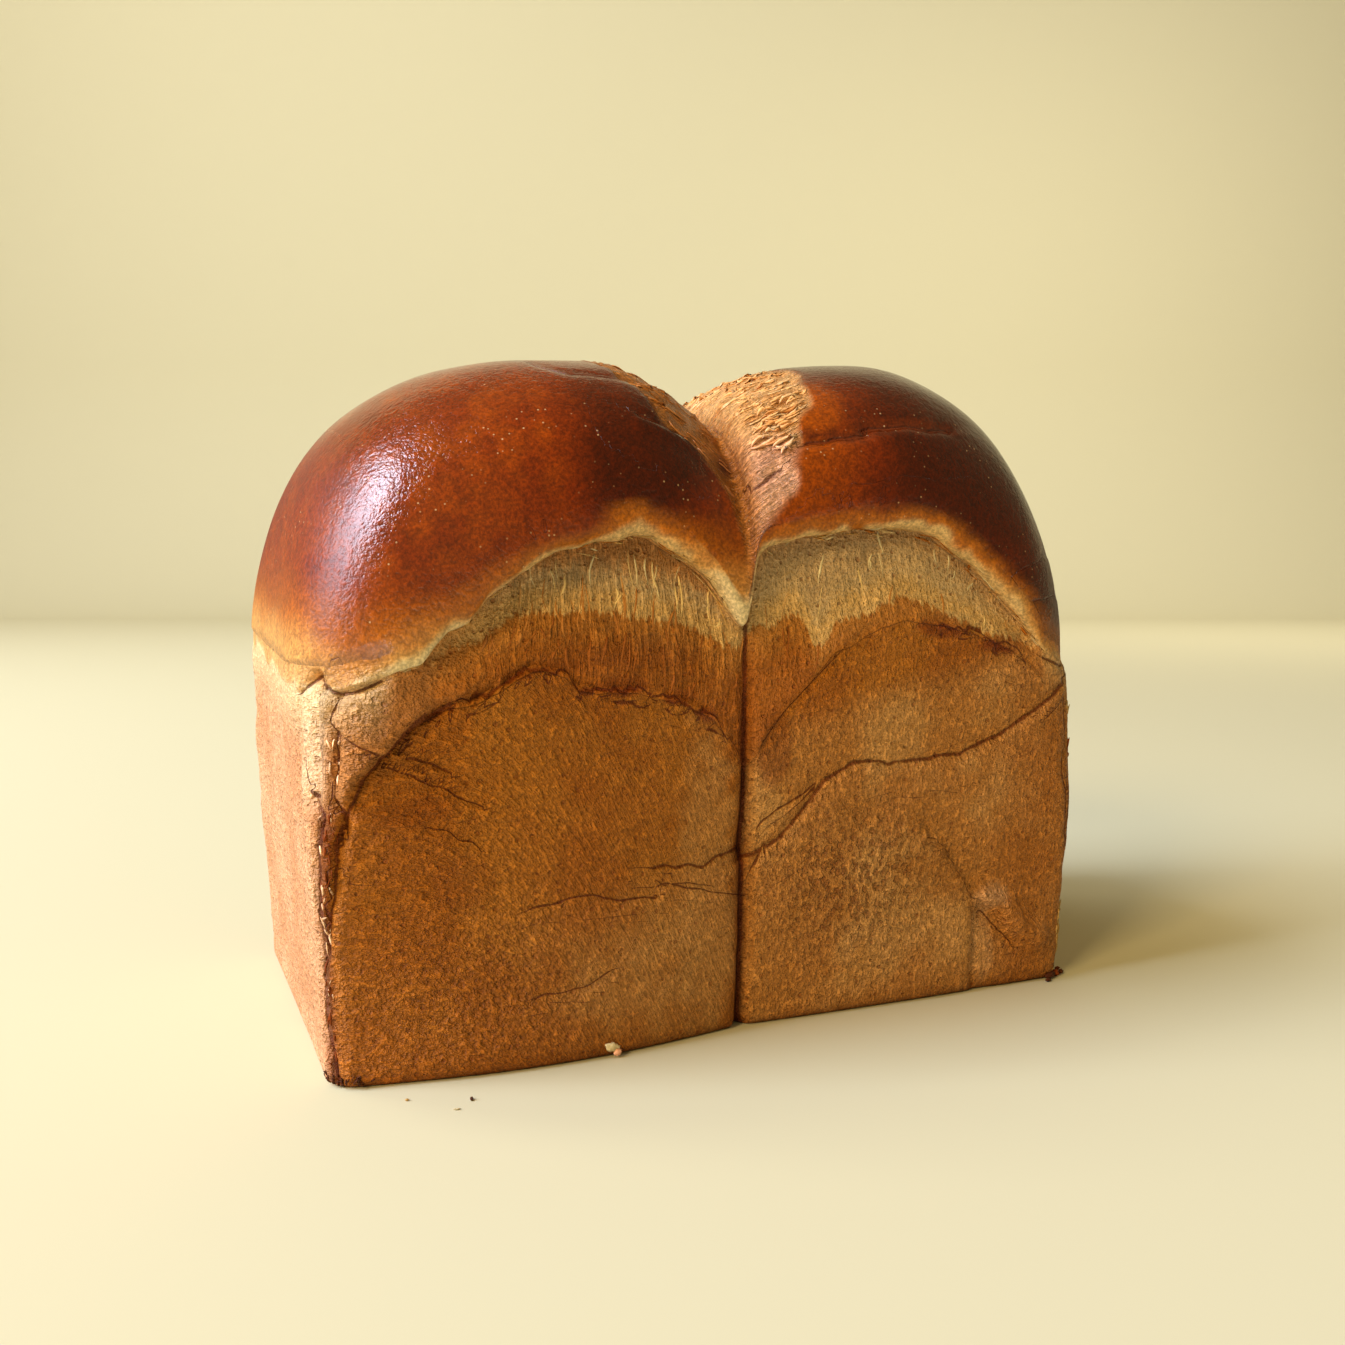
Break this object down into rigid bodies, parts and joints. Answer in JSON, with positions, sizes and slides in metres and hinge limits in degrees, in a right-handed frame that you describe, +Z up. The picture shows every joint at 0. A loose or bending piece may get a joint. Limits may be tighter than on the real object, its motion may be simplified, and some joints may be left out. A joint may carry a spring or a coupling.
{
  "type": "brioche loaf",
  "caption": "Whole tin loaf of brioche: flat tin-baked walls, a torn pale band under each lip, and a glossy domed crust parted by a deep valley.",
  "frame": {"origin": "bottom centre of the loaf, in the middle of its flat foot", "axes": "+X along the loaf's length, -Y towards the front wall that the picture shows, +Z up"},
  "size_m": [0.1782, 0.1036, 0.145],
  "materials": {
    "crust": "baked brioche crust: glossy dark red-brown on the domes, golden towards their edge, pale and fibrous where it tore, matt light brown on the walls"
  },
  "bodies": {
    "root": {"loaf": "crust"}
  },
  "joints": []
}
